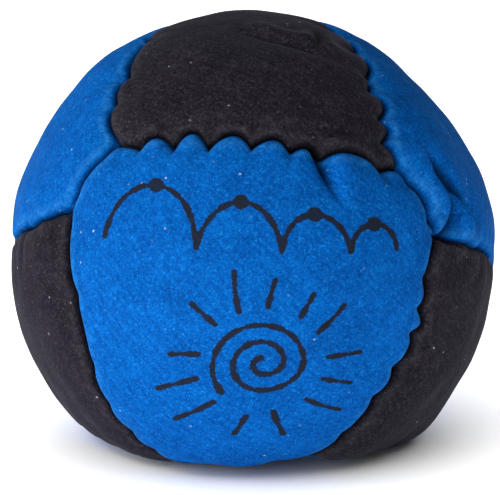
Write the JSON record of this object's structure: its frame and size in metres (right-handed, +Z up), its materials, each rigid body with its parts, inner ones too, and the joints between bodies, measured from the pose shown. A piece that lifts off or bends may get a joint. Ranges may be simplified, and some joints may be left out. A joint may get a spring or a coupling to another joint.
{
  "type": "juggling footbag",
  "caption": "Soft round juggling footbag: suede hexagons and triangles sewn into a ball and filled with sand, with turned-in seams and a flattened base that it rests on.",
  "frame": {"origin": "middle of the flat patch that the bag rests on", "axes": "+Z up; the front hexagon, the one with the print, faces -Y; +X is to the right of it"},
  "size_m": [0.052, 0.052, 0.0468],
  "materials": {
    "suede_blue": "brushed synthetic suede, matt with a soft sheen",
    "suede_black": "brushed synthetic suede, matt with a soft sheen",
    "thread": "twisted bonded polyester sewing thread",
    "sand": "dry rounded sand"
  },
  "bodies": {
    "root": {"panel_hexagon_base": "suede_blue", "panel_hexagon_front": "suede_blue", "panel_hexagon_upper_left": "suede_blue", "panel_hexagon_upper_right": "suede_blue", "panel_triangle_left": "suede_black", "panel_triangle_rear": "suede_black", "panel_triangle_right": "suede_black", "panel_triangle_top": "suede_black", "sand_filling": "sand", "thread_hexagon_base_to_hexagon_upper_left": "thread", "thread_hexagon_base_to_hexagon_upper_right": "thread", "thread_hexagon_base_to_triangle_left": "thread", "thread_hexagon_base_to_triangle_rear": "thread", "thread_hexagon_base_to_triangle_right": "thread", "thread_hexagon_front_to_hexagon_base": "thread", "thread_hexagon_front_to_hexagon_upper_left": "thread", "thread_hexagon_front_to_hexagon_upper_right": "thread", "thread_hexagon_front_to_triangle_left": "thread", "thread_hexagon_front_to_triangle_right": "thread", "thread_hexagon_front_to_triangle_top": "thread", "thread_hexagon_upper_left_to_hexagon_upper_right": "thread", "thread_hexagon_upper_left_to_triangle_left": "thread", "thread_hexagon_upper_left_to_triangle_rear": "thread", "thread_hexagon_upper_left_to_triangle_top": "thread", "thread_hexagon_upper_right_to_triangle_rear": "thread", "thread_hexagon_upper_right_to_triangle_right": "thread", "thread_hexagon_upper_right_to_triangle_top": "thread"}
  },
  "joints": []
}
